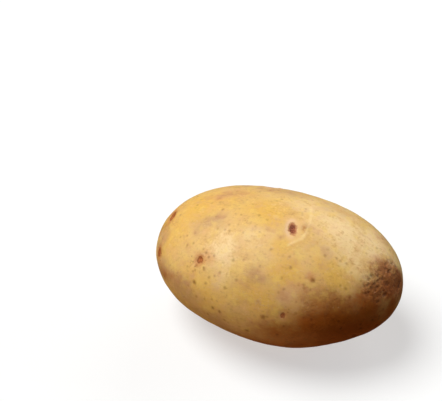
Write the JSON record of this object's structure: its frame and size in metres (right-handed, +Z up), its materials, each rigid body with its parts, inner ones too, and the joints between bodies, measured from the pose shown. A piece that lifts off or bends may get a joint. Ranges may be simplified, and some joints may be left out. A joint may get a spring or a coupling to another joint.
{
  "type": "potato",
  "caption": "Whole oval potato with thin smooth skin and shallow eyes, resting on a small flat spot on its underside.",
  "frame": {"origin": "centre of the bounding box at its base, on the surface that the potato lies on", "axes": "+X along the long axis from the rose end, where most eyes sit, to the heel, +Y across the width, +Z up through the thinnest way"},
  "size_m": [0.1012, 0.0662, 0.0567],
  "materials": {
    "potato_skin": "satin"
  },
  "bodies": {
    "root": {"potato": "potato_skin"}
  },
  "joints": []
}
